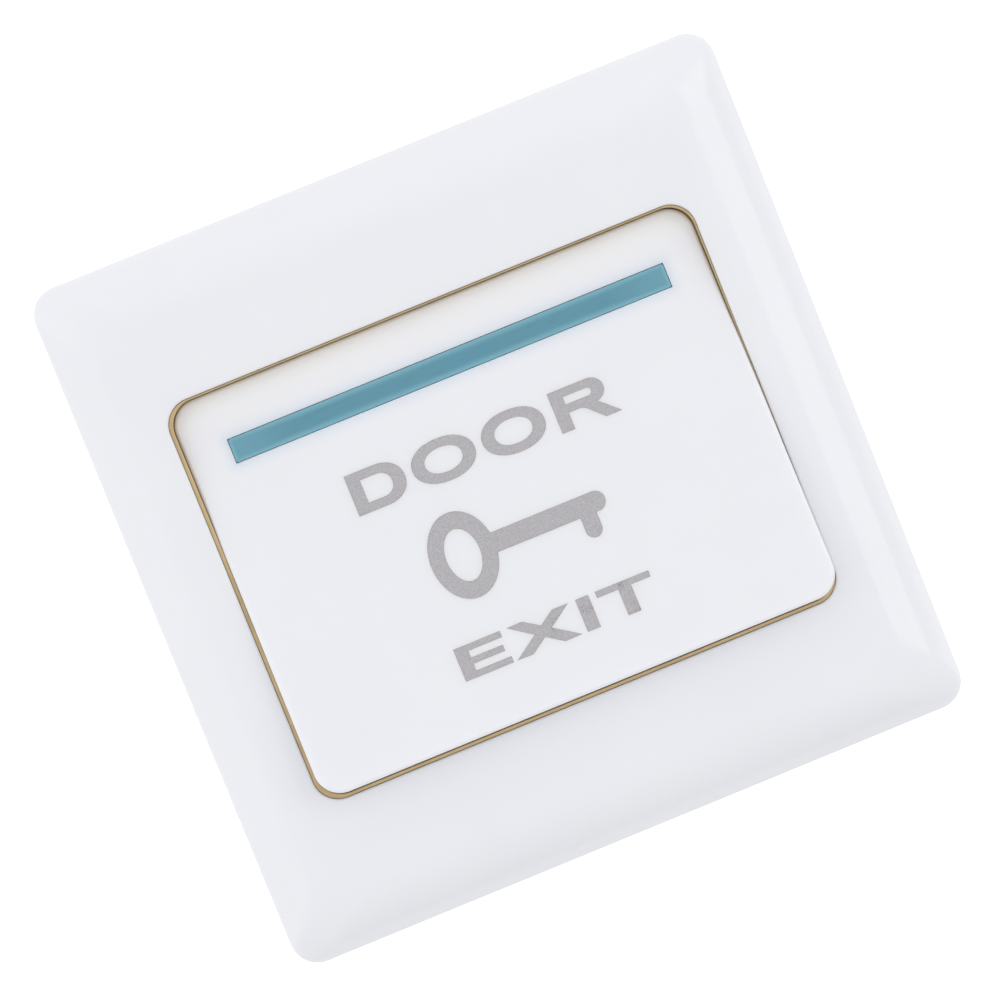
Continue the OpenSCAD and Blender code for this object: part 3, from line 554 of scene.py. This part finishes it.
def rounded_ring(box, corner_r, z):
    """Points round a rectangle with round corners; box is its left, low, right and high side."""
    left, low, right, high = (side + way * corner_r for side, way in zip(box, (1, 1, -1, -1)))
    points = []
    for centre, start in (((right, high), 0), ((left, high), 90), ((left, low), 180), ((right, low), 270)):
        for i in range(CORNER_STEPS + 1):
            angle = math.radians(start + 90 * i / CORNER_STEPS)
            points.append(Vector((centre[0] + corner_r * math.cos(angle),
                                  centre[1] + corner_r * math.sin(angle), z)) * MM)
    return points


def lofted(name, rings, comes_round, material):
    """A closed form through rings of points, which either come round to the first or are capped."""
    mesh = bmesh.new()
    levels = [[mesh.verts.new(point) for point in points] for points in rings]
    following = levels[1:] + levels[:1] if comes_round else levels[1:]
    for low, high in zip(levels, following):
        for i in range(len(low)):
            mesh.faces.new((low[i - 1], low[i], high[i], high[i - 1]))
    if not comes_round:
        mesh.faces.new(levels[0][::-1])
        mesh.faces.new(levels[-1])
    return mesh_object(name, mesh, material)


def smooth_but_creased(piece):
    """Smooth shading with the sharper edges kept, led by the larger faces."""
    crease = math.radians(30)
    stored = piece.data.attributes.get("custom_normal")
    if stored:
        piece.data.attributes.remove(stored)
    piece.data.shade_smooth()
    piece.data.set_sharp_from_angle(angle=crease)
    led = piece.modifiers.new("normals", "WEIGHTED_NORMAL")
    led.keep_sharp = True


def plate_sections():
    """Rings of the plate's outer form, its corners rounder towards the flat face.

    The form lies a hair inside the CAD one, and leaves its flat face alone."""
    hair = 0.04
    half, slope_start, slope_centre_z, slope_r = 43 - hair, 35, -0.4, 10 - hair
    face_corner_r, outline_r, edge_r = 6.0, 3.4, 0.5
    edge_x = half - edge_r
    edge_z = slope_centre_z + math.sqrt((slope_r - edge_r) ** 2 - (edge_x - slope_start) ** 2)
    turn = math.atan2(edge_z - slope_centre_z, edge_x - slope_start)
    leaves = math.radians(85)
    edge_steps, slope_steps = 8, 24
    low, high = -1.0, 10.2
    side = [(half, low)]
    for i in range(edge_steps):
        angle = turn * i / edge_steps
        side.append((edge_x + edge_r * math.cos(angle), edge_z + edge_r * math.sin(angle)))
    for i in range(slope_steps + 1):
        angle = turn + (leaves - turn) * i / slope_steps
        side.append((slope_start + slope_r * math.cos(angle), slope_centre_z + slope_r * math.sin(angle)))
    last_x, last_z = side[-1]
    side.append((last_x - (high - last_z) * math.tan(leaves), high))
    rings = []
    for reach, z in side:
        share = min(1, max(0, (reach - slope_start) / (half - slope_start)))
        corner_r = face_corner_r + (outline_r - face_corner_r) * share
        rings.append(rounded_ring((-reach, -reach, reach, reach), corner_r, z))
    return rings


def changed_copy(name, node, body, change):
    """A copy of a CAD node's mesh, its points moved by change, in place of the node."""
    weld_within = 0.001 * MM
    mesh = bmesh.new()
    mesh.from_mesh(NODES[node].data)
    bmesh.ops.remove_doubles(mesh, verts=mesh.verts, dist=weld_within)
    for vert in mesh.verts:
        vert.co = change(vert.co)
    piece = mesh_object(name, mesh, NODES[node].data.materials[0])
    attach(piece, body)
    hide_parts(node)
    return piece


def with_lower_opening(point):
    """Brings the upper side of the plate's opening down to where the photograph shows it."""
    lower_by = 0.15
    past_side, corner_start, past_top, under_collar = 33.5, 22, 25.65, 5.5
    x, y, z = point / MM
    if abs(x) < past_side and corner_start < y < past_top and z > under_collar:
        y -= lower_by
    return Vector((x, y, z)) * MM


def make_plate():
    """The face plate with its slopes running smoothly into each other at the corners."""
    plate = changed_copy("rounded_plate", "face_plate", "base", with_lower_opening)
    form = lofted("plate_form", plate_sections(), False, plate.data.materials[0])
    cut = plate.modifiers.new("corners", "BOOLEAN")
    cut.operation = "INTERSECT"
    cut.solver = "EXACT"
    cut.object = form
    evaluated = plate.evaluated_get(bpy.context.evaluated_depsgraph_get())
    plate.data = bpy.data.meshes.new_from_object(evaluated)
    plate.modifiers.clear()
    bpy.data.objects.remove(form)
    smooth_but_creased(plate)


def settled(point):
    """Lays the panel to the side that its play lets it lie at, and fits its recess to the strip."""
    play = 0.15
    recess_y, half_length, half_width, near = 17.2, 27.72, 1.675, 0.01
    x, y, z = (PANEL_TO_ROW.inverted() @ point) / MM
    at_end = abs(abs(x) - half_length) < near
    at_side = abs(abs(y - recess_y) - half_width) < near
    if at_end and at_side:
        x = STRIP_X + math.copysign(STRIP_LENGTH / 2 + STRIP_CLEAR, x)
        y = STRIP_Y + math.copysign(STRIP_WIDTH / 2 + STRIP_CLEAR, y - recess_y)
    else:
        x += play
    return PANEL_TO_ROW @ (Vector((x, y, z)) * MM)


def make_panel():
    """The push panel where it lies in its opening, and the strip with its round corners and edges."""
    smooth_but_creased(changed_copy("settled_panel", "rocker_panel", "rocker", settled))
    corner_r, edge_r, edge_steps, thickness = 0.25, 0.1, 5, 1.0
    face = PIVOT_DROP / MM
    side = [(0, face - thickness)]
    for i in range(edge_steps + 1):
        angle = math.pi / 2 * i / edge_steps
        side.append((edge_r * (1 - math.cos(angle)), face - edge_r * (1 - math.sin(angle))))
    rings = []
    for inset, z in side:
        half_length, half_width = STRIP_LENGTH / 2 - inset, STRIP_WIDTH / 2 - inset
        box = (STRIP_X - half_length, STRIP_Y - half_width, STRIP_X + half_length, STRIP_Y + half_width)
        rings.append([PANEL_TO_ROW @ point for point in rounded_ring(box, corner_r - inset, z)])
    strip = lofted("teal_strip", rings, False, NODES["indicator_strip"].data.materials[0])
    smooth_but_creased(strip)
    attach(strip, "rocker")
    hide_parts("indicator_strip")


def make_ring():
    """The gilt ring: a foot under the plate's collar, a wall and a flat lip beside the panel."""
    outside, outside_r = (-33.1, -25.25, 33.1, 25.1), 3.15
    inside, inside_r = (-32.66, -24.85, 32.96, 24.9), 3.25
    foot_reach, foot_low, foot_high = 1.5, 4.6, 5.58
    lip_top, lip_roll, lip_steps = 9.3, 0.05, 10

    def ring_at(share, z):
        box = tuple(a + (b - a) * share for a, b in zip(outside, inside))
        return rounded_ring(box, outside_r + (inside_r - outside_r) * share, z)

    foot = tuple(side + math.copysign(foot_reach, side) for side in outside)
    rings = [ring_at(1, foot_low)]
    rings += [rounded_ring(foot, outside_r + foot_reach, z) for z in (foot_low, foot_high)]
    rings.append(ring_at(0, foot_high))
    for i in range(lip_steps + 1):
        angle = math.pi * i / lip_steps
        rings.append(ring_at(0.5 - 0.5 * math.cos(angle), lip_top - lip_roll + lip_roll * math.sin(angle)))
    ring_piece = lofted("gilt_ring", rings, True, NODES["trim_ring"].data.materials[0])
    smooth_but_creased(ring_piece)
    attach(ring_piece, "base")
    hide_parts("trim_ring")


# Stage and light


def make_stage():
    """A pale floor that the camera sees as white, with the object's shadow on it."""
    floor_side, gap_below, glow = 6.0, 0.0002, 0.45
    mesh = bpy.data.meshes.new("floor")
    low = cad_box[0].z - gap_below
    half = floor_side / 2
    mesh.from_pydata([(x * half, y * half, low) for x, y in ((-1, -1), (1, -1), (1, 1), (-1, 1))],
                     [], [(0, 1, 2, 3)])
    floor = bpy.data.objects.new("floor", mesh)
    bpy.context.scene.collection.objects.link(floor)
    n = Nodes("floor_paint")
    n.set(Base_Color=(0.8, 0.8, 0.8, 1), Roughness=0.9, Specular_IOR_Level=0.1)
    path = n.add("ShaderNodeLightPath")
    seen = n.math("MAXIMUM", path.outputs["Is Camera Ray"],
                  n.math("MAXIMUM", path.outputs["Is Glossy Ray"], path.outputs["Is Transmission Ray"]))
    n.set(Emission_Color=(1, 1, 1, 1))
    n.feed(n.shader.inputs["Emission Strength"], n.math("MULTIPLY", seen, glow))
    mesh.materials.append(n.material)


def soft_box(name, place, aim, size, radiance):
    """A rectangular lamp given by how bright its face looks, where 1 is white."""
    data = bpy.data.lights.new(name, "AREA")
    data.shape = "RECTANGLE"
    data.size, data.size_y = size
    data.energy = radiance * math.pi * size[0] * size[1]
    light = bpy.data.objects.new(name, data)
    bpy.context.scene.collection.objects.link(light)
    direction = Vector(aim) - Vector(place)
    light.location = place
    light.rotation_euler = direction.to_track_quat("-Z", "Y").to_euler()


def make_world():
    """A pale room, a little brighter above the plate's upper side."""
    middle_level, rise = 0.865, 0.15
    world = bpy.data.worlds.new("world")
    bpy.context.scene.world = world
    world.use_nodes = True
    nodes, links = world.node_tree.nodes, world.node_tree.links
    background = nodes["Background"]
    background.inputs["Color"].default_value = (1, 1, 1, 1)
    place = nodes.new("ShaderNodeTexCoord")
    slope = nodes.new("ShaderNodeVectorMath")
    slope.operation = "DOT_PRODUCT"
    slope.inputs[1].default_value = (0.0, rise, 0.0)
    level = nodes.new("ShaderNodeMath")
    level.operation = "ADD"
    level.inputs[1].default_value = middle_level
    links.new(place.outputs["Generated"], slope.inputs[0])
    links.new(slope.outputs["Value"], level.inputs[0])
    links.new(level.outputs[0], background.inputs["Strength"])


def make_light():
    make_world()
    soft_box("right_box", (0.646, 0.08, 0.552), (0, 0, 0), (0.6, 0.6), 0.85)
    soft_box("left_box", (-0.8, 0.05, 0.3), (0, 0, 0), (0.9, 1.0), 0.45)


bpy.context.scene.view_settings.view_transform = "Standard"
make_camera()
dress_nodes()
make_plate()
make_panel()
make_ring()
make_print()
make_stage()
make_light()
